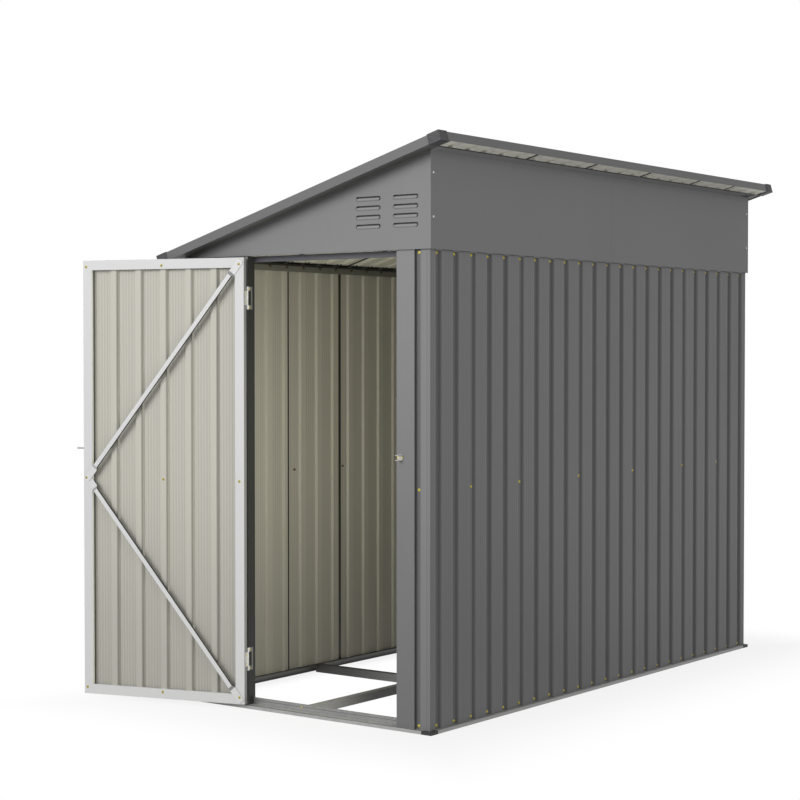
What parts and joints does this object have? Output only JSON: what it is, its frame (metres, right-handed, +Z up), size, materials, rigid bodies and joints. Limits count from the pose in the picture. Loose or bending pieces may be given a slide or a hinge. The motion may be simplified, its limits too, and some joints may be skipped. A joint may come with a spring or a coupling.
{
  "type": "metal storage shed",
  "caption": "Lean-to metal garden shed with corrugated walls, louvred gable, a hinged braced door standing open and an open joist floor.",
  "frame": {"origin": "ground level at the centre of the wall footprint, on the underside of the centre floor joist", "axes": "+X towards the high wall, -Y out of the doorway, +Z up"},
  "size_m": [1.5394, 2.5727, 1.9683],
  "materials": {
    "wall_paint": "satin grey outside, cream backing coat inside",
    "trim_paint": "satin dark grey",
    "black_plastic": "moulded, matt",
    "galvanised": "bare zinc coat",
    "door_paint": "cream backing coat, grey outside",
    "door_frame": "pale grey",
    "zinc_steel": "bright zinc plate"
  },
  "bodies": {
    "shed": {"corner_panel_front_right": "wall_paint", "corner_panel_back_right": "wall_paint", "corner_panel_back_left": "wall_paint", "corner_panel_front_left": "wall_paint", "right_wall_outer_panels": "wall_paint", "right_wall_inner_panels": "wall_paint", "left_wall_outer_panels": "wall_paint", "left_wall_inner_panels": "wall_paint", "back_wall_panel": "wall_paint", "right_jamb": "wall_paint", "left_jamb": "wall_paint", "front_gable": "wall_paint", "back_gable": "wall_paint", "high_fascia": "wall_paint", "roof_outer_panels": "wall_paint", "roof_inner_panels": "wall_paint", "roof_front_trim": "trim_paint", "roof_back_trim": "trim_paint", "roof_high_trim": "trim_paint", "roof_low_trim": "trim_paint", "base_corner_feet": "black_plastic", "roof_corner_caps": "black_plastic", "base_front_rail": "galvanised", "base_back_rail": "galvanised", "base_left_rail": "galvanised", "base_right_rail": "galvanised", "floor_centre_joist": "galvanised", "floor_cross_joists": "galvanised", "door_header": "galvanised", "back_top_rail": "galvanised", "right_top_rail": "galvanised", "left_top_rail": "galvanised", "jamb_hinges": "zinc_steel", "latch_staple": "zinc_steel"},
    "door": {"door_skin": "door_paint", "door_hinge_stile": "door_frame", "door_free_stile": "door_frame", "door_top_rail": "door_frame", "door_bottom_rail": "door_frame", "door_upper_brace": "door_frame", "door_lower_brace": "door_frame", "door_hinges": "zinc_steel", "door_hasp": "zinc_steel"}
  },
  "joints": [
    {"name": "door_swing", "type": "hinge", "parent": "shed", "child": "door", "pos_m": [-0.246, -1.153, 0.8], "axis": [0, 0, 1], "range_deg": [-2, 164.3]}
  ]
}
